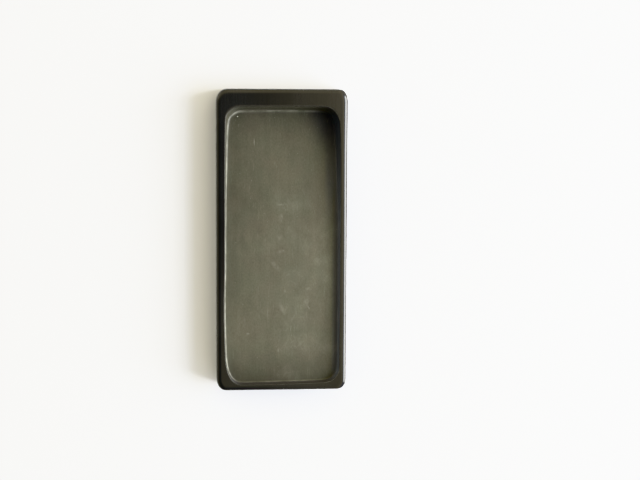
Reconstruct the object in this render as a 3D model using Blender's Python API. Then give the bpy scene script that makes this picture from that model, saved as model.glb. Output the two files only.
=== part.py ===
"""A carved slate inkstone with a thin coat of dark lacquer on its rim and sides.

The stone is one carved block. Its long well has a shallow grinding slope, the hill, which runs down
into a deeper pool, the sea, at the +Y end. The coat covers the flat rim, its rounded outer edge and
the sides, and leaves the well and the underside as bare slate.

Metres, +Z up. The origin is under the middle of the stone, on the surface that it rests on.
"""

import math

import bmesh
import bpy
from mathutils import Vector

# Outside of the finished stone
LENGTH = 0.141
WIDTH = 0.061
HEIGHT = 0.017
CORNER_RADII = (0.0046, 0.0048, 0.0054, 0.0052)  # seen from above: SE, NE, NW, SW
EDGE_RADIUS = 0.0017  # of the rounded outer edge of the rim

# Lacquer coat, and the clearance between it and the stone
COAT = 0.0003
CLEARANCE = 0.0003
COAT_FOOT = 0.0009  # the coat stops this far above the underside

# Underside
BASE_CHAMFER = 0.0008

# Rim widths from the outer edge to the mouth of the well
RIM_EAST = 0.0033
RIM_WEST = 0.0038
RIM_SOUTH = 0.0033
RIM_NORTH = 0.0081
MOUTH_RADII = (0.0066, 0.0073, 0.0072, 0.0086)  # SE, NE, NW, SW

# Well
WALL_DRAFT = math.radians(11)
COVE = 0.0006  # radius of the hollow between wall and floor
HILL_DEPTH = 0.0034  # below the rim, at the south end
HILL_SLOPE = 0.010  # fall per metre of run along the hill
SHORE_Y = 0.006  # where the hill starts to dip into the sea
SEA_DEPTH = 0.0055  # that the sea adds to the hill's fall, at its north end
SEA_CURVE = 1.15  # exponent of the dip

# How finely the shapes are cut
ARC_STEPS = 6
LONG_STEPS = 16
SHORT_STEPS = 4
EDGE_STEPS = 4
COVE_STEPS = 3
FLOOR_RINGS = 3
SAME_POINT = 0.000001

OUTER_BOX = (-WIDTH / 2, WIDTH / 2, -LENGTH / 2, LENGTH / 2)  # west, east, south, north
MOUTH_BOX = (
    -WIDTH / 2 + RIM_WEST,
    WIDTH / 2 - RIM_EAST,
    -LENGTH / 2 + RIM_SOUTH,
    LENGTH / 2 - RIM_NORTH,
)


def clear_scene():
    for item in list(bpy.data.objects):
        bpy.data.objects.remove(item, do_unlink=True)


def outline(box, radii):
    """Pairs of point and inward direction around a rounded rectangle, anticlockwise from the SE corner."""
    west, east, south, north = box
    sides = ((east, 1, south, -1), (east, 1, north, 1), (west, -1, north, 1), (west, -1, south, -1))
    arcs = []
    for corner, ((x, x_sign, y, y_sign), radius) in enumerate(zip(sides, radii, strict=True)):
        centre = Vector((x - x_sign * radius, y - y_sign * radius))
        arc = []
        for step in range(ARC_STEPS + 1):
            angle = math.pi / 2 * (corner - 1 + step / ARC_STEPS)
            outward = Vector((math.cos(angle), math.sin(angle)))
            arc.append((centre + radius * outward, -outward))
        arcs.append(arc)
    points = []
    for corner, steps in enumerate((LONG_STEPS, SHORT_STEPS, LONG_STEPS, SHORT_STEPS)):
        start, inward = arcs[corner][-1]
        end = arcs[(corner + 1) % 4][0][0]
        points += arcs[corner]
        points += [(start.lerp(end, step / steps), inward) for step in range(1, steps)]
    return points


def ring(points, inset, height):
    """An outline moved inward by inset, at one height."""
    return [Vector((*(point + inset * inward), height)) for point, inward in points]


def edge_rings(points, offset, top):
    """The side and rounded top edge of a block that lies offset inside the finished stone."""
    radius = EDGE_RADIUS - offset
    rings = []
    for step in range(EDGE_STEPS + 1):
        angle = math.pi / 2 * step / EDGE_STEPS
        inset = EDGE_RADIUS - radius * math.cos(angle)
        rings.append(ring(points, inset, top - radius * (1 - math.sin(angle))))
    return rings


def floor_height(y):
    """Height of the well's floor, which falls gently along the hill and then dips into the sea."""
    south = MOUTH_BOX[2]
    north = MOUTH_BOX[3]
    dip = max(0, (y - SHORE_Y) / (north - SHORE_Y))
    return HEIGHT - HILL_DEPTH - HILL_SLOPE * (y - south) - SEA_DEPTH * dip**SEA_CURVE


def wall_rings(points, top):
    """The well's sloping walls and the cove at their foot."""
    rings = [ring(points, 0, top)]
    for step in range(COVE_STEPS + 1):
        angle = WALL_DRAFT + (math.pi / 2 - WALL_DRAFT) * step / COVE_STEPS
        run = COVE * (math.cos(WALL_DRAFT) - math.cos(angle))
        lift = COVE * (1 - math.sin(angle))
        level = []
        for point, inward in points:
            floor = floor_height(point.y)
            fall = top - floor - COVE * (1 - math.sin(WALL_DRAFT))
            inset = fall * math.tan(WALL_DRAFT) + run
            level.append(Vector((*(point + inset * inward), floor + lift)))
        rings.append(level)
    return rings


def spine_points(edge):
    """The floor's centreline: one point for each point of the floor's edge, shared across the well."""
    middle = sum(point.x for point in edge) / len(edge)
    south = MOUTH_BOX[2] + MOUTH_RADII[0] + COVE
    north = MOUTH_BOX[3] - MOUTH_RADII[1] - COVE
    rising = [step / LONG_STEPS for step in range(1, LONG_STEPS)]
    south_east = [0] * (ARC_STEPS + 1)
    north_end = [1] * (2 * ARC_STEPS + SHORT_STEPS + 1)
    south_west = [0] * (ARC_STEPS + SHORT_STEPS)
    shares = south_east + rising + north_end + rising[::-1] + south_west
    stations = [south + share * (north - south) for share in shares]
    return [Vector((middle, y, floor_height(y))) for y in stations]


def floor_rings(edge):
    """Rings from the floor's edge to its centreline, each on the floor's own curve."""
    spine = spine_points(edge)
    rings = []
    for step in range(1, FLOOR_RINGS + 1):
        level = [a.lerp(b, step / FLOOR_RINGS) for a, b in zip(edge, spine, strict=True)]
        for point in level:
            point.z = floor_height(point.y)
        rings.append(level)
    return rings


def add_loop(bm, points):
    """A closed loop of edges."""
    verts = [bm.verts.new(point) for point in points]
    return [bm.edges.new((verts[place - 1], verts[place])) for place in range(len(verts))]


def loft(rings, solid):
    """A sheet through the rings. A solid one is capped at its first ring and closed at its last."""
    bm = bmesh.new()
    loops = [add_loop(bm, points) for points in rings]
    for lower, upper in zip(loops, loops[1:], strict=False):
        bmesh.ops.bridge_loops(bm, edges=lower + upper)
    if solid:
        bmesh.ops.contextual_create(bm, geom=loops[0])
        bmesh.ops.remove_doubles(bm, verts=bm.verts, dist=SAME_POINT)
    bmesh.ops.recalc_face_normals(bm, faces=bm.faces)
    return bm


def material(name, colour, roughness, metallic=0.0):
    made = bpy.data.materials.new(name)
    made.use_nodes = True
    shader = made.node_tree.nodes["Principled BSDF"]
    shader.inputs["Base Color"].default_value = (*colour, 1)
    shader.inputs["Roughness"].default_value = roughness
    shader.inputs["Metallic"].default_value = metallic
    return made


def add_object(name, bm, finish):
    mesh = bpy.data.meshes.new(name)
    bm.to_mesh(mesh)
    bm.free()
    mesh.materials.append(finish)
    mesh.shade_smooth()
    mesh.set_sharp_from_angle(angle=math.radians(40))
    made = bpy.data.objects.new(name, mesh)
    bpy.context.collection.objects.link(made)
    return made


def stone_body():
    """The carved block: underside, sides under the coat, rim under the coat, and the open well."""
    outside = outline(OUTER_BOX, CORNER_RADII)
    mouth = outline(MOUTH_BOX, MOUTH_RADII)
    offset = COAT + CLEARANCE
    top = HEIGHT - offset
    rings = [ring(outside, offset + BASE_CHAMFER, 0), ring(outside, offset, BASE_CHAMFER)]
    rings += edge_rings(outside, offset, top)
    rings += wall_rings(mouth, top)
    rings += floor_rings(rings[-1])
    bare_slate = material("bare_slate", (0.13, 0.13, 0.095), 0.75)
    return add_object("stone_body", loft(rings, solid=True), bare_slate)


def lacquer_coat():
    """The coat: a sleeve round the sides, turned in over the rim as far as the well's mouth."""
    outside = outline(OUTER_BOX, CORNER_RADII)
    mouth = outline(MOUTH_BOX, MOUTH_RADII)
    rings = [ring(outside, 0, COAT_FOOT)]
    rings += edge_rings(outside, 0, HEIGHT)
    rings += [ring(mouth, 0, HEIGHT)]
    dark_lacquer = material("dark_lacquer", (0.022, 0.021, 0.015), 0.35)
    coat = add_object("lacquer_coat", loft(rings, solid=False), dark_lacquer)
    thickness = coat.modifiers.new("Thickness", "SOLIDIFY")
    thickness.thickness = COAT
    thickness.offset = -1
    thickness.use_even_offset = True
    return coat


clear_scene()
stone_body()
lacquer_coat()
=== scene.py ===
"""Looks of the carved slate inkstone: bare honed slate, a rubbed lacquer coat, a pale table and soft light.

Metres, +Z up, +Y (north) towards the deep end of the well and +X east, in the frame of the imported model.
"""

import math

import bmesh
import bpy
import numpy as np
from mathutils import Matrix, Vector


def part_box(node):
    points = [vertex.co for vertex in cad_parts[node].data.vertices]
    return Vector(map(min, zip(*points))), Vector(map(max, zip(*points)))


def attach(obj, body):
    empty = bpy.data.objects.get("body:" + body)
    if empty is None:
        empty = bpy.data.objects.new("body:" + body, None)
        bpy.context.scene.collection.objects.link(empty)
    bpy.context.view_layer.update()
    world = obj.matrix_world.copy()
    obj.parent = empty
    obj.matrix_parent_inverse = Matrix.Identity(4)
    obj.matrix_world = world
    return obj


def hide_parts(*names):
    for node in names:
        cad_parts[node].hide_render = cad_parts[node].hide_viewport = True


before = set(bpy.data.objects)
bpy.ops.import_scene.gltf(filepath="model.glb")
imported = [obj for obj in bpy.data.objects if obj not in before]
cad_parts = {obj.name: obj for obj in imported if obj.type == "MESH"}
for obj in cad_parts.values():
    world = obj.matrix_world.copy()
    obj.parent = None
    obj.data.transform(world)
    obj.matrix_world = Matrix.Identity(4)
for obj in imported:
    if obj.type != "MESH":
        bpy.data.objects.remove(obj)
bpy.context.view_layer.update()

MM = 0.001
rng = np.random.default_rng(7)

# The finished stone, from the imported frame
coat_low, coat_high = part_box("lacquer_coat")
TOP = coat_high.z
COAT_FOOT = coat_low.z
HALF_WIDTH = coat_high.x
HALF_LENGTH = coat_high.y

# Outer edge, lip and coat
EDGE_RADIUS = 1.6 * MM  # of the tight round of the outer edge
EDGE_GROWTH = 0.3 * MM  # that the tight round gains at the north-east corner
GROWTH_START_Y = -24 * MM
GROWTH_RUN = 60 * MM
ROLL_ANGLE = math.radians(6)  # where the rim's slow roll turns into the tight round
ROLL_RADIUS = 9 * MM
LIP_RADIUS = 0.16 * MM
SIDE_HOLLOW = 0.02 * MM  # that the sides draw in, half way up
COAT = 0.06 * MM
GAP = 0.01 * MM

# Inset and height (mm) of the softened chamfer round the underside
BASE_PROFILE = ((0.92, 0), (0.78, 0.05), (0.05, 0.77), (0, 0.85))

# Rim, from the outer edge to the mouth of the well
RIM_EAST = 3.3 * MM
RIM_WEST = 4.36 * MM
RIM_SOUTH = 3.3 * MM
RIM_NORTH = 8.1 * MM
MOUTH_EAST = HALF_WIDTH - RIM_EAST
MOUTH_WEST = -HALF_WIDTH + RIM_WEST
MOUTH_SOUTH = -HALF_LENGTH + RIM_SOUTH
MOUTH_NORTH = HALF_LENGTH - RIM_NORTH

# Corners SE, NE, NW and SW: half-widths along X and Y (mm), and squareness
OUTER_CORNERS = ((4.2, 4.6, 2.1), (3.8, 6.0, 2.1), (5.2, 6.0, 2.05), (4.6, 5.8, 2.1))
MOUTH_CORNERS = ((7.6, 6.6, 2.0), (8.4, 10.0, 2.2), (7.2, 6.4, 2.0), (7.8, 13.0, 2.2))

# How far the mouth's sides swell outward: east, north, west and south
MOUTH_BOWS = (0.15 * MM, 0.1 * MM, 0.3 * MM, 0.15 * MM)
WEST_BULGE = 0.5 * MM  # more of the same on the west side, in its southern half
BULGE_Y = -33 * MM
BULGE_REACH = 18 * MM
NORTH_EAST_PINCH = 0.4 * MM  # that the north-east corner stands further in
PINCH_Y = 54 * MM
PINCH_REACH = 9 * MM
SOUTH_SKEW = 0.023  # of the mouth's south end, in metres per metre of width
SOUTH_SHIFT = 0.15 * MM  # of that end, outward

# The well
WALL_DRAFT = math.radians(11)  # lean of the wall from upright
WEST_DRAFT = math.radians(5.5)  # the same at the west side
NORTH_WEST_DRAFT = math.radians(6.5)  # that the north-west corner leans back further
NORTH_WEST_X = -25.5 * MM
NORTH_WEST_Y = 60.5 * MM
NORTH_WEST_REACH_X = 5.2 * MM
NORTH_WEST_REACH_Y = 6 * MM
COVE_RADIUS = 0.55 * MM  # of the hollow at the wall's foot, in the middle of the well
COVE_SOUTH_GAIN = 0.25 * MM
COVE_NORTH_GAIN = 0.75 * MM
COVE_NORTH_START = 15 * MM
COVE_NORTH_RUN = 38 * MM
COVE_NORTH_WALL_GAIN = 0.4 * MM
HILL_DEPTH = 3.4 * MM  # below the rim, at the south end
HILL_SLOPE = 0.010  # fall per metre of run along the hill
SHORE_Y = 6 * MM  # where the hill starts to dip into the sea
SHORE_SOFTNESS = 0.05  # of that start, in squared shares of the dip's run
SEA_DEPTH = 5.5 * MM  # that the sea adds to the hill's fall, at its north end
SEA_CURVE = 1.15  # exponent of the dip
RUBBED_DEPTH = 0.05 * MM  # of the faint hollow where sticks have rubbed
RUBBED_X = 3 * MM
RUBBED_Y = -12 * MM
RUBBED_REACH_X = 16 * MM
RUBBED_REACH_Y = 34 * MM
HAND_DEPTH = 0.018 * MM  # of the floor's hand-made unevenness
WALL_BELLY = 0.035 * MM  # that the wall swells outward, half way down

# Unevenness left by the hand, to either side of the true line
OUTER_UNEVEN = 0.03 * MM
MOUTH_UNEVEN = 0.06 * MM
COVE_UNEVEN = 0.08 * MM

# How finely the shapes are cut
ARC_STEPS = 28
LONG_STEPS = 190
SHORT_STEPS = 70
SIDE_ROWS = 14
ROUND_ROWS = 13
ROLL_ROWS = 5
RIM_ROWS = 7
LIP_ROWS = 7
WALL_ROWS = 11
COVE_ROWS = 8
FLOOR_ROWS = 26
UNDERSIDE_ROWS = 12
SPINE_END = 9 * MM  # the centreline stops this far from an edge's ends
PALE_LINE_ROW = 3  # after the wall, where the pale line is strongest: scraped chalk with a painted highlight
PALE_LINE_ROWS = 2.2  # that it fades over, to either side
WALL_MARK_ROWS = WALL_ROWS + 2  # the wall's colour runs on into the top of the cove
SAME_POINT = 0.0005 * MM


# ---------------------------------------------------------------- shapes

def swell(*offsets):
    """1 where every offset is 0, falling smoothly to nearly 0 beyond an offset of 2."""
    return np.exp(-sum(offset ** 2 for offset in offsets))


def wobble(count, size, waves):
    """A closed curve of hand-made unevenness: a few seeded sine waves around the outline."""
    turn = np.linspace(0, 2 * math.pi, count, endpoint=False)
    total_wave = np.zeros(count)
    for wave in waves:
        total_wave += math.sqrt(1 / wave) * np.sin(wave * turn + rng.uniform(0, 2 * math.pi))
    return size * total_wave / np.abs(total_wave).max()


def outline(west, east, south, north, corners, bows):
    """Points around a rounded rectangle, anticlockwise from the SE corner. corners holds the
    half-widths (mm) of each corner's curve along X and Y, and its squareness; bows is how far
    each side (east, north, west, south) swells outward in its middle."""
    signs = ((1, -1), (1, 1), (-1, 1), (-1, -1))
    steps = (LONG_STEPS, SHORT_STEPS, LONG_STEPS, SHORT_STEPS)
    outward = ((1, 0), (0, 1), (-1, 0), (0, -1))
    arcs = []
    for turn, ((x_sign, y_sign), (x_size, y_size, square)) in enumerate(zip(signs, corners, strict=True)):
        reach_x, reach_y = x_size * MM, y_size * MM
        side_x = east if x_sign > 0 else west
        side_y = north if y_sign > 0 else south
        centre = np.array((side_x - x_sign * reach_x, side_y - y_sign * reach_y))
        angle = math.pi / 2 * (turn - 1 + np.linspace(0, 1, ARC_STEPS + 1))
        cos, sin = np.cos(angle), np.sin(angle)
        curve = np.stack((reach_x * np.sign(cos) * np.abs(cos) ** (2 / square),
                          reach_y * np.sign(sin) * np.abs(sin) ** (2 / square)), axis=1)
        arcs.append(centre + curve)
    points = []
    for turn in range(4):
        start, end = arcs[turn][-1], arcs[(turn + 1) % 4][0]
        share = np.arange(1, steps[turn])[:, None] / steps[turn]
        bow = bows[turn] * 4 * share * (1 - share) * np.array(outward[turn])
        points += [arcs[turn], start + (end - start) * share + bow]
    return np.concatenate(points)


def smooth(points, passes):
    """Rounds off the small kinks where a curve meets a side."""
    for _ in range(passes):
        points = 0.5 * points + 0.25 * (np.roll(points, 1, axis=0) + np.roll(points, -1, axis=0))
    return points


def inward(points):
    """Unit vectors that point to the inside of an anticlockwise outline."""
    along = np.roll(points, -1, axis=0) - np.roll(points, 1, axis=0)
    normal = np.stack((-along[:, 1], along[:, 0]), axis=1)
    return normal / np.linalg.norm(normal, axis=1, keepdims=True)


def level(points, inset, height):
    """An outline moved inward by inset, at a height. Both may vary from point to point."""
    flat = points + inward(points) * np.broadcast_to(inset, len(points))[:, None]
    return np.column_stack((flat, np.broadcast_to(height, len(points))))


def outer_outline():
    """The outside of the stone, which dips up to 0.06 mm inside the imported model's box."""
    sides = (-HALF_WIDTH, HALF_WIDTH, -HALF_LENGTH, HALF_LENGTH)
    points = smooth(outline(*sides, OUTER_CORNERS, (0, 0, 0, 0)), 12)
    dip = wobble(len(points), OUTER_UNEVEN, (3, 5, 8, 13)) + OUTER_UNEVEN
    return points + inward(points) * dip[:, None]


def mouth_outline():
    """The mouth of the well, a little crooked as cut by hand."""
    sides = (MOUTH_WEST, MOUTH_EAST, MOUTH_SOUTH, MOUTH_NORTH)
    points = smooth(outline(*sides, MOUTH_CORNERS, MOUTH_BOWS), 16)
    bulge = swell((points[:, 1] - BULGE_Y) / BULGE_REACH) * (points[:, 0] < 0)
    pinch = swell((points[:, 1] - PINCH_Y) / PINCH_REACH) * np.clip(points[:, 0] / HALF_WIDTH, 0, 1)
    points[:, 0] -= WEST_BULGE * bulge + NORTH_EAST_PINCH * pinch
    south_end = np.clip(-points[:, 1] / HALF_LENGTH, 0, 1) ** 4
    points[:, 1] += (SOUTH_SKEW * points[:, 0] - SOUTH_SHIFT) * south_end
    return points + inward(points) * wobble(len(points), MOUTH_UNEVEN, (4, 7, 11, 17))[:, None]


def edge_radius():
    """Radius of the outer edge's tight round, which grows towards the north-east."""
    eastward = np.clip(OUTER[:, 0] / HALF_WIDTH, 0, 1)
    northward = np.clip((OUTER[:, 1] - GROWTH_START_Y) / GROWTH_RUN, 0, 1)
    return EDGE_RADIUS + EDGE_GROWTH * eastward * northward


def wall_draft():
    """Lean of the well's wall from upright: less at the west side, more in the north-west corner."""
    west_side = np.clip(inward(MOUTH)[:, 0], 0, 1)
    corner = swell((MOUTH[:, 0] - NORTH_WEST_X) / NORTH_WEST_REACH_X,
                   (MOUTH[:, 1] - NORTH_WEST_Y) / NORTH_WEST_REACH_Y)
    return WALL_DRAFT + (WEST_DRAFT - WALL_DRAFT) * west_side + NORTH_WEST_DRAFT * corner


def cove_radius():
    """Radius of the hollow at the wall's foot: it widens to both ends, and most along the north wall."""
    southward = np.clip(-MOUTH[:, 1] / HALF_LENGTH, 0, 1)
    northward = np.clip((MOUTH[:, 1] - COVE_NORTH_START) / COVE_NORTH_RUN, 0, 1)
    north_wall = np.clip(-inward(MOUTH)[:, 1], 0, 1) ** 2
    gain = COVE_SOUTH_GAIN * southward + COVE_NORTH_GAIN * northward + COVE_NORTH_WALL_GAIN * north_wall
    return COVE_RADIUS + gain


OUTER = outer_outline()
MOUTH = mouth_outline()
COUNT = len(OUTER)
EDGE = edge_radius()
DRAFT = wall_draft()
COVE = cove_radius() + wobble(COUNT, COVE_UNEVEN, (9, 16, 27, 41))


def floor_height(x, y):
    """The well's floor: the hill, its dip into the sea, a faint hollow where sticks have rubbed, and
    hand-made unevenness."""
    run = (y - SHORE_Y) / (MOUTH_NORTH - SHORE_Y)
    dip = ((run + np.sqrt(run ** 2 + SHORE_SOFTNESS)) / 2) ** SEA_CURVE
    rubbed = RUBBED_DEPTH * swell((x - RUBBED_X) / RUBBED_REACH_X, (y - RUBBED_Y) / RUBBED_REACH_Y)
    across = np.sin(x / (5.1 * MM) + 1.3 * np.sin(y / (13 * MM)))
    along = np.sin(y / (7.7 * MM) + 0.9 * np.sin(x / (8 * MM)) + 2)
    hill = TOP - HILL_DEPTH - HILL_SLOPE * (y - MOUTH_SOUTH)
    return hill - SEA_DEPTH * dip - rubbed + HAND_DEPTH * (across + along)


def skin_levels(depth):
    """From the foot of the coat up the side, over the rounded edge and the rim, to the well's lip,
    at a depth under the finished surface."""
    turned = math.sin(ROLL_ANGLE)
    raised = math.cos(ROLL_ANGLE)
    side_top = TOP - EDGE * raised - ROLL_RADIUS * (1 - raised)
    roll_inset = EDGE * (1 - turned) + ROLL_RADIUS * turned
    levels = []
    for share in np.linspace(0, 1, SIDE_ROWS, endpoint=False):
        hollow = SIDE_HOLLOW * math.sin(math.pi * share) ** 2
        levels.append(level(OUTER, depth + hollow, COAT_FOOT + share * (side_top - COAT_FOOT)))
    for angle in np.linspace(0, math.pi / 2 - ROLL_ANGLE, ROUND_ROWS):
        reach = EDGE - depth
        levels.append(level(OUTER, EDGE - reach * math.cos(angle), side_top + reach * math.sin(angle)))
    for angle in np.linspace(math.pi / 2 - ROLL_ANGLE, math.pi / 2, ROLL_ROWS + 1)[1:]:
        reach = ROLL_RADIUS - depth
        height = TOP - ROLL_RADIUS + reach * math.sin(angle)
        levels.append(level(OUTER, roll_inset - reach * math.cos(angle), height))
    rim_outside = levels[-1]
    lip = []
    for angle in np.linspace(np.full(COUNT, math.pi / 2), DRAFT, LIP_ROWS):
        reach = LIP_RADIUS - depth
        height = TOP - LIP_RADIUS + reach * np.sin(angle)
        lip.append(level(MOUTH, reach * np.cos(angle) - LIP_RADIUS, height))
    for share in np.linspace(0, 1, RIM_ROWS + 2)[1:-1]:
        levels.append(rim_outside + (lip[0] - rim_outside) * share)
    return levels + lip


def well_levels(start):
    """The wall below the lip, the cove at its foot and the first points of the floor."""
    edge_inset = (LIP_RADIUS - COAT - GAP) * np.cos(DRAFT) - LIP_RADIUS
    edge_height = start[:, 2]
    floor = floor_height(MOUTH[:, 0], MOUTH[:, 1])
    fall = edge_height - floor - COVE * (1 - np.sin(DRAFT))
    wall_run = fall * np.tan(DRAFT)
    levels = []
    for share in np.linspace(0, 1, WALL_ROWS + 1)[1:]:
        belly = WALL_BELLY * math.sin(math.pi * share)
        levels.append(level(MOUTH, edge_inset + share * wall_run - belly, edge_height - share * fall))
    for angle in np.linspace(DRAFT, np.full(COUNT, math.pi / 2), COVE_ROWS + 1)[1:]:
        cove_run = COVE * (np.cos(DRAFT) - np.cos(angle))
        ring = level(MOUTH, edge_inset + wall_run + cove_run, 0)
        ring[:, 2] = floor_height(ring[:, 0], ring[:, 1]) + COVE * (1 - np.sin(angle))
        levels.append(ring)
    return levels


def spine(edge, south, north):
    """For each point of an edge, the point of the centreline that its row of the floor runs to."""
    rising = np.arange(1, LONG_STEPS) / LONG_STEPS
    share = np.concatenate((np.zeros(ARC_STEPS + 1), rising, np.ones(2 * ARC_STEPS + SHORT_STEPS + 1),
                            rising[::-1], np.zeros(ARC_STEPS + SHORT_STEPS)))
    return np.column_stack((np.full(len(edge), edge[:, 0].mean()), south + share * (north - south)))


def inner_levels(edge, count, height):
    """Rings from an edge to its centreline, at heights given by a function of X and Y."""
    centre = spine(edge, edge[:, 1].min() + SPINE_END, edge[:, 1].max() - SPINE_END)
    levels = []
    for share in np.linspace(0, 1, count + 1)[1:]:
        flat = edge[:, :2] + (centre - edge[:, :2]) * share
        levels.append(np.column_stack((flat, height(flat[:, 0], flat[:, 1]))))
    return levels


def lofted(name, levels, closed, marks):
    """A mesh through levels of equal count. closed joins the last level to the first; otherwise the
    first and the last level each lie on a centreline, whose paired points are merged. marks holds
    named values, one for each level, that the materials read."""
    mesh = bpy.data.meshes.new(name)
    points = np.concatenate(levels)
    rows = len(levels) if closed else len(levels) - 1
    place = np.arange(COUNT)
    ahead = (place + 1) % COUNT
    faces = []
    for row in range(rows):
        low = row * COUNT
        high = (row + 1) % len(levels) * COUNT
        faces.append(np.stack((low + place, low + ahead, high + ahead, high + place), axis=1))
    mesh.from_pydata(points.tolist(), [], np.concatenate(faces).tolist())
    for mark, values in marks.items():
        attribute = mesh.attributes.new(mark, "FLOAT", "POINT")
        attribute.data.foreach_set("value", np.repeat(values, COUNT).astype(np.float32))
    bm = bmesh.new()
    bm.from_mesh(mesh)
    bmesh.ops.remove_doubles(bm, verts=bm.verts, dist=SAME_POINT)
    bmesh.ops.recalc_face_normals(bm, faces=bm.faces)
    bm.to_mesh(mesh)
    bm.free()
    mesh.shade_smooth()
    made = bpy.data.objects.new(name, mesh)
    bpy.context.scene.collection.objects.link(made)
    return made


def build_stone():
    """The carved block, from the middle of the underside, up the sides and over into the well."""
    depth = COAT + GAP
    skin = skin_levels(depth)
    base = [level(OUTER, depth + inset * MM, height * MM) for inset, height in BASE_PROFILE]
    underside = inner_levels(base[0], UNDERSIDE_ROWS, lambda x, y: 0 * x)[::-1]
    well = well_levels(skin[-1])
    floor = inner_levels(well[-1], FLOOR_ROWS, floor_height)
    levels = underside + base + skin + well + floor
    well_start = len(levels) - len(floor) - len(well)
    well_row = np.arange(len(levels)) - well_start
    # the pale line at the foot of the walls: partly scraped chalk, partly painted highlight
    scrape_and_highlight = swell((well_row - WALL_ROWS - PALE_LINE_ROW) / PALE_LINE_ROWS)
    wall = (well_row >= 0) & (well_row < WALL_MARK_ROWS)
    return lofted("slate_stone", levels, closed=False, marks={"scrape_and_highlight": scrape_and_highlight, "wall": wall})


def build_coat():
    """The lacquer film, as a closed shell over the sides, the edge and the rim."""
    outside = skin_levels(0)
    inside = skin_levels(COAT)
    lip = np.arange(len(outside)) >= len(outside) - LIP_ROWS
    marks = {"lip": np.concatenate((lip, lip[::-1]))}
    return lofted("lacquer_skin", outside + inside[::-1], closed=True, marks=marks)


# ---------------------------------------------------------------- materials

def node(tree, kind, links=None, **settings):
    """Adds a node. links maps a socket's name or number to a value or to another node's socket."""
    made = tree.nodes.new("ShaderNode" + kind)
    for key, value in settings.items():
        setattr(made, key, value)
    for socket, value in (links or {}).items():
        if isinstance(value, bpy.types.NodeSocket):
            tree.links.new(value, made.inputs[socket])
        else:
            made.inputs[socket].default_value = value
    return made


def new_material(name):
    material = bpy.data.materials.new(name)
    material.use_nodes = True
    tree = material.node_tree
    shader = tree.nodes["Principled BSDF"]
    coordinates = node(tree, "TexCoord").outputs["Object"]
    return material, tree, shader, coordinates


def noise(tree, coordinates, scale, detail=2.0, stretch=(1, 1, 1), roughness=0.5, distortion=0.0):
    """Noise with features 1 / scale metres wide, longer along an axis whose stretch is under 1."""
    mapped = node(tree, "Mapping", {"Vector": coordinates, "Scale": stretch}).outputs["Vector"]
    made = node(tree, "TexNoise", {"Vector": mapped, "Scale": scale, "Detail": detail,
                                   "Roughness": roughness, "Distortion": distortion})
    return made.outputs["Fac"]


def remap(tree, value, low, high, to_low=0.0, to_high=1.0, kind="LINEAR"):
    """Takes a value from one range to another, held at both ends."""
    made = node(tree, "MapRange", {"Value": value, "From Min": low, "From Max": high,
                                   "To Min": to_low, "To Max": to_high}, interpolation_type=kind)
    return made.outputs["Result"]


def ease(tree, value, low, high, to_low=0.0, to_high=1.0):
    """Like remap, with soft ends."""
    return remap(tree, value, low, high, to_low, to_high, "SMOOTHSTEP")


def maths(tree, operation, *values):
    return node(tree, "Math", dict(enumerate(values)), operation=operation).outputs[0]


def product(tree, first, *others):
    for other in others:
        first = maths(tree, "MULTIPLY", first, other)
    return first


def total(tree, first, *others):
    for other in others:
        first = maths(tree, "ADD", first, other)
    return first


def mix_colour(tree, factor, first, second, blend="MIX"):
    made = node(tree, "Mix", data_type="RGBA", blend_type=blend)
    for name, value in (("Factor", factor), ("A", first), ("B", second)):
        socket = next(s for s in made.inputs if s.name == name and s.enabled)
        if isinstance(value, bpy.types.NodeSocket):
            tree.links.new(value, socket)
        else:
            socket.default_value = value
    return next(s for s in made.outputs if s.enabled)


def shaded(tree, colour, value):
    """A colour times a value."""
    grey = node(tree, "CombineColor", {"Red": value, "Green": value, "Blue": value}).outputs["Color"]
    return mix_colour(tree, 1.0, colour, grey, "MULTIPLY")


def mark_of(tree, name):
    """A value that the mesh carries from level to level."""
    return node(tree, "Attribute", attribute_name=name).outputs["Fac"]


def add_relief(tree, shader, relief, strength, distance):
    bump = node(tree, "Bump", {"Height": relief, "Strength": strength, "Distance": distance})
    tree.links.new(bump.outputs["Normal"], shader.inputs["Normal"])


def spot(tree, coordinates, x, y, across, along, angle=0.0, soft=1.0):
    """1 inside a small ellipse on the stone, falling to 0 at its border. Sizes are in mm."""
    mapped = node(tree, "Mapping", {"Vector": coordinates, "Location": (x * MM, y * MM, 0),
                                    "Rotation": (0, 0, math.radians(angle)),
                                    "Scale": (across * MM, along * MM, 1)}, vector_type="TEXTURE")
    distance = node(tree, "VectorMath", {0: mapped.outputs["Vector"]}, operation="LENGTH").outputs["Value"]
    return ease(tree, distance, 1.0, 1.0 - soft)


# Chalky marks where sticks have been rubbed: place, half-sizes across and along (mm), turn, strength
RUB_MARKS = (
    (-0.2, 16.7, 2.2, 0.7, 0, 0.07),
    (-0.2, 10.6, 1.5, 2.8, 0, 0.07),
    (-1.1, 1.3, 2.4, 2.2, 0, 0.04),
    (-0.2, -5.2, 2.6, 1.4, 20, 0.05),
    (-3.0, -11.7, 1.6, 4.2, 40, 0.07),
    (17.5, -9.9, 3.4, 2.8, 0, 0.07),
    (1.7, -23.9, 0.9, 0.9, 0, 0.07),
    (12.9, -22.9, 2.0, 1.2, 0, 0.06),
    (11.9, -29.0, 2.2, 3.8, -20, 0.07),
    (12.9, -31.8, 0.6, 1.5, 35, 0.10),
    (0.3, -32.2, 1.4, 4.2, 25, 0.055),
    (4.5, -41.6, 0.28, 2.2, -8, 0.14),
    (-15.6, -43.9, 1.1, 0.8, 0, 0.10),
    (-1.1, -51.8, 2.0, 1.5, 0, 0.05),
    (11.0, 37.7, 0.35, 0.9, 0, 0.10),
)


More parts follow.
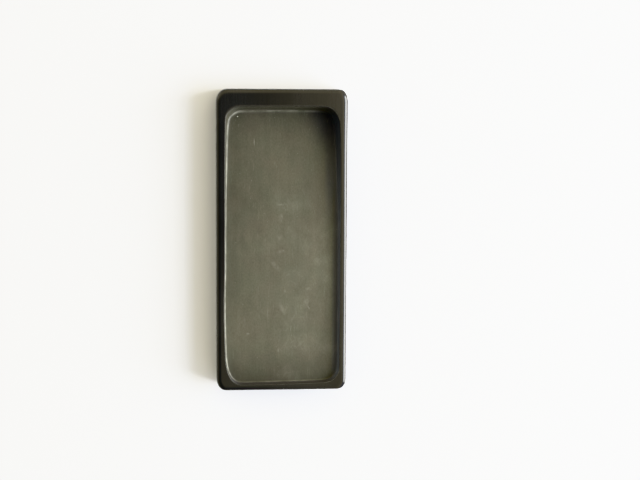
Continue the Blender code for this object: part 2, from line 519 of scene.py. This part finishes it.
def slate_tone(tree, at, east, north):
    """How light the bare slate is: cloudy, grained along the stone, darker at its ends, and paler in a wide
    area in the south-west. It also carries painted shade, darker to the west away from the light, and
    painted light, paler over the east of the floor and in a band close under the lit west wall."""
    clouds = remap(tree, noise(tree, at, 60, 3, (1, 0.7, 1)), 0.3, 0.7, 0.92, 1.08)
    patches = remap(tree, noise(tree, at, 240, 4, (1, 0.6, 1), 0.6), 0.3, 0.7, 0.94, 1.06)
    bands = remap(tree, noise(tree, at, 480, 3, (1, 0.07, 1)), 0.3, 0.7, 0.965, 1.035)
    grain = remap(tree, noise(tree, at, 1700, 3, (1, 0.6, 1), 0.7), 0.25, 0.75, 0.86, 1.14)
    shore = ease(tree, north, -2 * MM, 24 * MM, 1.0, 0.86)
    sea = ease(tree, north, 42 * MM, 64 * MM, 1.0, 0.80)
    south_end = ease(tree, north, -68 * MM, -46 * MM, 0.59, 1.0)
    # painted shade: the floor darkens to the west, away from the light
    painted_shade_west = ease(tree, east, -28 * MM, 0, 0.85, 1.0)
    # painted light: a brighter band along the foot of the lit west wall, strongest to the north-west
    painted_light_west_gain = remap(tree, north, 20 * MM, 45 * MM, 1.07, 1.22)
    painted_light_west_foot = remap(tree, east, -26 * MM, -21 * MM, painted_light_west_gain, 1.0)
    # painted light: the east of the floor is paler, nearer the light
    painted_light_east = remap(tree, spot(tree, at, 21, -2, 14, 46), 0, 1, 1.0, 1.2)
    pale_south = remap(tree, spot(tree, at, -20, -52, 16, 24), 0, 1, 1.0, 1.14)
    return product(tree, clouds, patches, bands, grain, shore, sea, south_end, painted_shade_west, painted_light_west_foot,
                   painted_light_east, pale_south)


def slate_with_painted_light_and_shade(tree, at, east, north, base):
    """The slate's colour with painted shade: a cool band on the floor beside the east wall, where its
    shadow falls, the shaded east wall in a cool tone that darkens to the north, a darker south wall, and a
    near-black painted shadow of the east rim in the sea's north-east corner. The north wall is paler, which
    is painted light."""
    wall = mark_of(tree, "wall")
    # painted shade: a cool band on the floor along the east wall's foot, where that wall's shadow falls
    foot = remap(tree, east, 23.5 * MM, 26.5 * MM, 0, 0.75)
    painted_shade_sea_foot = product(tree, remap(tree, east, 20 * MM, 24 * MM, 0, 0.45),
                       remap(tree, north, 6 * MM, 26 * MM))
    base = mix_colour(tree, maths(tree, "MAXIMUM", foot, painted_shade_sea_foot), base, (0.058, 0.065, 0.090, 1))
    # painted shade: the shaded east wall in the cool tone of its shade, darker to the north where the well
    # is deeper
    painted_shade_wall_tone = remap(tree, north, 8 * MM, 36 * MM, 1.0, 0.70)
    painted_shade_wall_colour = shaded(tree, (0.097, 0.104, 0.124, 1), painted_shade_wall_tone)
    painted_shade_east_wall = product(tree, wall, remap(tree, east, 20 * MM, 25 * MM, 0, 0.8))
    base = mix_colour(tree, painted_shade_east_wall, base, painted_shade_wall_colour)
    # painted shade: the south wall, which faces away from the light, darker and cooler
    painted_shade_south_wall = product(tree, wall, remap(tree, north, -62 * MM, -66 * MM, 0, 0.7))
    base = mix_colour(tree, painted_shade_south_wall, base, (0.048, 0.047, 0.052, 1))
    # painted light: the north wall paler
    north_wall = product(tree, wall, remap(tree, north, 58 * MM, 63 * MM, 0, 0.5))
    base = mix_colour(tree, north_wall, base, (0.105, 0.103, 0.085, 1))
    # painted shadow: the east rim's shadow, near-black, in the sea's north-east corner, fainter on the wall
    painted_shadow_pool = product(tree, spot(tree, at, 30, 64, 25.6, 46, 18), 0.85)
    corner = product(tree, spot(tree, at, 27, 60, 15, 24), 0.95)
    painted_shadow = maths(tree, "SUBTRACT", total(tree, painted_shadow_pool, corner), product(tree, painted_shadow_pool, corner))
    painted_shadow = product(tree, painted_shadow, remap(tree, wall, 0, 1, 1.0, 0.35))
    return mix_colour(tree, painted_shadow, base, (0.0080, 0.0104, 0.0205, 1))


def chalk_and_highlight(tree, at, east, north):
    """How much chalk lies on the slate: fine scratches, specks, rub marks and strokes on the hill, and the
    pale line at the foot of the walls, which is partly scraped chalk and partly painted highlight,
    strongest along the west foot that faces the light."""
    scratches = remap(tree, noise(tree, at, 2600, 1, (1, 0.04, 1)), 0.68, 0.78, 0, 0.05)
    chip = product(tree, spot(tree, at, -20.3, 57.5, 0.4, 0.25, 30, 0.6), 0.9)
    nick = product(tree, spot(tree, at, -12.6, 45.8, 0.28, 2.4, 2, 0.8), 0.16)
    rubs = [product(tree, spot(tree, at, *shape), strength) for *shape, strength in RUB_MARKS]
    broken = remap(tree, noise(tree, at, 900, 3, (1, 0.6, 1)), 0.34, 0.68, 0.2, 1.4)
    folds = noise(tree, at, 190, 2, (1, 0.5, 1), 0.5, 1.2)
    from_fold = maths(tree, "ABSOLUTE", maths(tree, "SUBTRACT", folds, 0.5))
    strokes = ease(tree, from_fold, 0, 0.05, 1, 0)
    worked = product(tree, ease(tree, noise(tree, at, 75, 2), 0.46, 0.70),
                     ease(tree, east, -9 * MM, 2 * MM), ease(tree, north, 34 * MM, 14 * MM))
    cells = node(tree, "TexVoronoi", {"Vector": at, "Scale": 300, "Randomness": 1.0})
    specks = remap(tree, cells.outputs["Distance"], 0.06, 0.03, 0, 0.12)
    chipped = remap(tree, noise(tree, at, 260, 3), 0.35, 0.62, 0.25, 1.0)
    # partly scraped chalk, partly painted highlight: strong along the west foot, which faces the light,
    # faint along the shaded east foot
    scrape_and_highlight = product(tree, mark_of(tree, "scrape_and_highlight"), chipped,
                     ease(tree, east, -26 * MM, -16 * MM, 0.4, 0.16),
                     remap(tree, east, 15 * MM, 24 * MM, 1.0, 0.15),
                     remap(tree, north, -67 * MM, -60 * MM, 0.6, 1.0),
                     remap(tree, north, -25 * MM, 20 * MM, 1.2, 0.85),
                     remap(tree, north, 58 * MM, 62 * MM, 1.0, 1.8))
    return total(tree, scratches, chip, nick, product(tree, total(tree, *rubs), broken),
                 product(tree, strokes, worked, 0.025), product(tree, worked, 0.02), specks, scrape_and_highlight)


def slate_material():
    """Honed slate: grey-olive, cloudy and grained, marked with chalk, and with painted shade and light on
    the floor and walls.
    """
    material, tree, shader, at = new_material("honed_slate")
    place = node(tree, "SeparateXYZ", {"Vector": at})
    east, north = place.outputs["X"], place.outputs["Y"]
    hue = remap(tree, noise(tree, at, 85, 3), 0.35, 0.65)
    olive = mix_colour(tree, hue, (0.0688, 0.0650, 0.0474, 1), (0.0658, 0.0655, 0.0469, 1))
    bare = shaded(tree, olive, slate_tone(tree, at, east, north))
    base = slate_with_painted_light_and_shade(tree, at, east, north, bare)
    # chalk, with the painted highlight of the pale line at the walls' foot
    chalk = node(tree, "Clamp", {"Value": chalk_and_highlight(tree, at, east, north)}).outputs[0]
    colour = mix_colour(tree, chalk, base, (0.42, 0.42, 0.35, 1))
    tree.links.new(colour, shader.inputs["Base Color"])
    rough = remap(tree, noise(tree, at, 700, 3, (1, 0.3, 1)), 0.3, 0.7, 0.46, 0.6)
    tree.links.new(rough, shader.inputs["Roughness"])
    shader.inputs["Specular IOR Level"].default_value = 0.25
    grooves = product(tree, noise(tree, at, 900, 2, (1, 0.05, 1)), 0.8)
    relief = total(tree, noise(tree, at, 4200, 4, (1, 0.5, 1)), grooves)
    add_relief(tree, shader, relief, 0.35, 0.04 * MM)
    return material


def lacquer_material():
    """Near-black lacquer, rubbed to a satin shine, thinner and browner along the well's lip."""
    material, tree, shader, at = new_material("rubbed_lacquer")
    north = node(tree, "SeparateXYZ", {"Vector": at}).outputs["Y"]
    lip = mark_of(tree, "lip")
    clouds = remap(tree, noise(tree, at, 45, 3), 0.35, 0.65, 0.85, 1.2)
    brushed = remap(tree, noise(tree, at, 1500, 2, (1, 0.04, 1)), 0.3, 0.7, 0.92, 1.08)
    base = shaded(tree, (0.0121, 0.0122, 0.0121, 1), product(tree, clouds, brushed))
    rubbed = remap(tree, noise(tree, at, 380, 4), 0.35, 0.7, 0.1, 0.6)
    worn = product(tree, lip, rubbed, remap(tree, north, 56 * MM, 61 * MM, 1.0, 0.35))
    colour = mix_colour(tree, worn, base, (0.050, 0.049, 0.041, 1))
    tree.links.new(colour, shader.inputs["Base Color"])
    satin = remap(tree, noise(tree, at, 120, 3), 0.3, 0.7, 0.055, 0.08)
    tree.links.new(total(tree, satin, product(tree, lip, 0.3)), shader.inputs["Roughness"])
    shader.inputs["IOR"].default_value = 1.5
    shader.inputs["Specular Tint"].default_value = (1.0, 0.985, 0.92, 1)
    relief = total(tree, noise(tree, at, 900, 2, (1, 0.12, 1)), noise(tree, at, 2800, 2))
    add_relief(tree, shader, relief, 0.12, 0.02 * MM)
    return material


def table_material():
    """A pale matt table top, very slightly cloudy."""
    material, tree, shader, at = new_material("pale_table")
    clouds = remap(tree, noise(tree, at, 9, 3), 0.3, 0.7, 0.985, 1.0)
    colour = shaded(tree, (0.710, 0.716, 0.733, 1), clouds)
    tree.links.new(colour, shader.inputs["Base Color"])
    shader.inputs["Roughness"].default_value = 0.7
    shader.inputs["Specular IOR Level"].default_value = 0.2
    return material


# ---------------------------------------------------------------- stage, light and camera

def build_table():
    mesh = bpy.data.meshes.new("table")
    bm = bmesh.new()
    bmesh.ops.create_circle(bm, cap_ends=True, radius=6, segments=96)
    bm.to_mesh(mesh)
    bm.free()
    table = bpy.data.objects.new("table", mesh)
    table.data.materials.append(table_material())
    bpy.context.scene.collection.objects.link(table)


def area_light(name, place, turn, width, height, radiance, colour):
    """A soft rectangular light that the camera doesn't see, of a given brightness per area."""
    light = bpy.data.lights.new(name, "AREA")
    light.shape = "RECTANGLE"
    light.size = width
    light.size_y = height
    light.energy = radiance * math.pi * width * height
    light.color = colour
    made = bpy.data.objects.new(name, light)
    made.location = place
    made.rotation_euler = turn
    made.visible_camera = False
    bpy.context.scene.collection.objects.link(made)


def room_colour(tree):
    """The room around the stone: dim and cool all round, with warm light from the east, the north, a
    patch in the south and low in the west. It is bluer low in the east and south-east."""
    way = node(tree, "SeparateXYZ", {"Vector": node(tree, "TexCoord").outputs["Generated"]})
    x, y = way.outputs["X"], way.outputs["Y"]
    east = product(tree, remap(tree, x, 0.034, 0.15, 0, 1.75), ease(tree, x, 0.2, 0.5, 1, 0.64),
                   remap(tree, y, -0.12, -0.22, 1.0, 0.7))
    north = ease(tree, y, -0.03, 0.22, 0, 1.35)
    south = product(tree, ease(tree, y, -0.1, -0.2, 0, 0.63), ease(tree, y, -0.28, -0.40, 1, 0),
                    remap(tree, x, 0.02, 0.1, 1.0, 0.1), remap(tree, x, -0.05, 0.01))
    west = remap(tree, x, -0.50, -0.80, 0, 0.95)
    above = remap(tree, x, -0.06, 0.015, 0, 0.15)
    warm = total(tree, maths(tree, "MAXIMUM", east, north), south, west)
    cool = total(tree, above, 0.11)
    eastward = remap(tree, x, -0.35, -0.02)
    tint = mix_colour(tree, eastward, (1.095, 1.04, 0.835, 1), (1.12, 1.0, 0.68, 1))
    bluer = product(tree, remap(tree, x, 0.22, 0.44), remap(tree, y, 0.1, 0.35, 1.0, 0.1))
    tint = mix_colour(tree, bluer, tint, (0.93, 1.0, 1.28, 1))
    return mix_colour(tree, 1.0, shaded(tree, tint, warm), shaded(tree, (0.96, 1.0, 1.10, 1), cool), "ADD")


def build_light():
    """A tall soft light a little south of east, dimmer and bluer towards its top, and the room. The
    camera sees a plain backdrop. The picture's response holds back the highlights, as a camera's does."""
    facing_west = (math.radians(90), 0, math.radians(90))
    area_light("window", (0.6, -0.05, 0.40), facing_west, 0.58, 0.64, 15.0, (0.995, 1.0, 1.0))
    area_light("window_top", (0.6, -0.05, 0.88), facing_west, 0.58, 0.32, 7.6, (0.91, 1.015, 1.27))
    world = bpy.data.worlds.new("room")
    bpy.context.scene.world = world
    world.use_nodes = True
    tree = world.node_tree
    tree.nodes.clear()
    lit = node(tree, "Background", {"Color": room_colour(tree), "Strength": 1.0})
    backdrop = node(tree, "Background", {"Color": (0.93, 0.93, 0.92, 1), "Strength": 1.0})
    seen = node(tree, "LightPath").outputs["Is Camera Ray"]
    both = node(tree, "MixShader", {0: seen, 1: lit.outputs[0], 2: backdrop.outputs[0]})
    node(tree, "OutputWorld", {"Surface": both.outputs[0]})
    bpy.context.scene.view_settings.view_transform = "Khronos PBR Neutral"


def build_camera():
    """Looks down on the stone from 0.66 m, leaning about 8 degrees from straight above."""
    camera = bpy.data.cameras.new("camera")
    camera.sensor_width = 36
    camera.lens = 78.64
    made = bpy.data.objects.new("camera", camera)
    made.location = (-0.0421, 0.0750, 0.6605)
    made.rotation_euler = (math.radians(-6.597), math.radians(-5.267), math.radians(0.360))
    bpy.context.scene.collection.objects.link(made)
    bpy.context.scene.camera = made


# ---------------------------------------------------------------- the scene

stone = build_stone()
stone.data.materials.append(slate_material())
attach(stone, "root")
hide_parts("stone_body")

coat = build_coat()
coat.data.materials.append(lacquer_material())
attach(coat, "root")
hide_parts("lacquer_coat")

build_table()
build_light()
build_camera()
